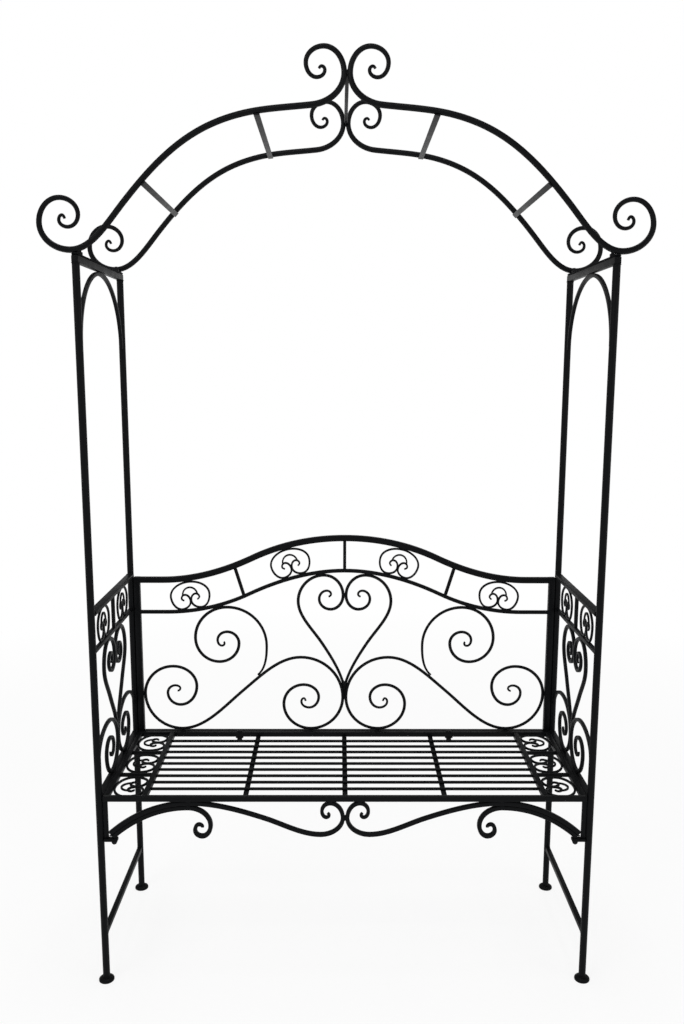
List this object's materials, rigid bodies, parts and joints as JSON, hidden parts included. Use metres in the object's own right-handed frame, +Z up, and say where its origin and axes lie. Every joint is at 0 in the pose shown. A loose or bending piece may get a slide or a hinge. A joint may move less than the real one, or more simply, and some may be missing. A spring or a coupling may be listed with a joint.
{
  "type": "garden arbor bench",
  "caption": "Tall steel garden bench with a slatted seat, scrolled heart back and sides, scrolled apron and an open scrolled arch overhead.",
  "frame": {"origin": "on the floor, midway between the four posts, the bottom centre of the bounding box", "axes": "+Z up, +Y from the front of the seat to the back panel, +X across the bench to the right as seen from the front"},
  "size_m": [1.2528, 0.423, 2.0241],
  "materials": {
    "coated_steel": "near-black semi-gloss powder coat over welded mild steel",
    "bolt": "black-coated steel bolt with its nut"
  },
  "bodies": {
    "root": {"left_front_post": "coated_steel", "left_rear_post": "coated_steel", "left_front_foot": "coated_steel", "left_rear_foot": "coated_steel", "left_top_rail": "coated_steel", "left_arm_rail": "coated_steel", "left_seat_level_rail": "coated_steel", "left_stretcher": "coated_steel", "left_arm_frieze": "coated_steel", "left_lancet_rod": "coated_steel", "left_side_scrollwork": "coated_steel", "right_front_post": "coated_steel", "right_rear_post": "coated_steel", "right_front_foot": "coated_steel", "right_rear_foot": "coated_steel", "right_top_rail": "coated_steel", "right_arm_rail": "coated_steel", "right_seat_level_rail": "coated_steel", "right_stretcher": "coated_steel", "right_arm_frieze": "coated_steel", "right_lancet_rod": "coated_steel", "right_side_scrollwork": "coated_steel", "left_back_stile": "coated_steel", "right_back_stile": "coated_steel", "back_crown_rail": "coated_steel", "back_frieze": "coated_steel", "back_heart": "coated_steel", "left_back_scroll": "coated_steel", "right_back_scroll": "coated_steel", "left_back_curl": "coated_steel", "right_back_curl": "coated_steel", "back_bottom_rail": "coated_steel", "seat_front_rail": "coated_steel", "seat_rear_rail": "coated_steel", "left_seat_end": "coated_steel", "right_seat_end": "coated_steel", "slat_grid": "coated_steel", "left_apron_long_bar": "coated_steel", "left_apron_short_bar": "coated_steel", "left_apron_bracket": "coated_steel", "right_apron_long_bar": "coated_steel", "right_apron_short_bar": "coated_steel", "right_apron_bracket": "coated_steel", "front_left_arch_bar": "coated_steel", "rear_left_arch_bar": "coated_steel", "front_right_arch_bar": "coated_steel", "rear_right_arch_bar": "coated_steel", "left_lower_arch_strip": "coated_steel", "left_upper_arch_strip": "coated_steel", "right_lower_arch_strip": "coated_steel", "right_upper_arch_strip": "coated_steel", "left_arch_base": "coated_steel", "right_arch_base": "coated_steel", "arch_tie": "coated_steel", "left_seat_bolt": "bolt", "right_seat_bolt": "bolt", "left_apron_bolt": "bolt", "right_apron_bolt": "bolt"}
  },
  "joints": []
}
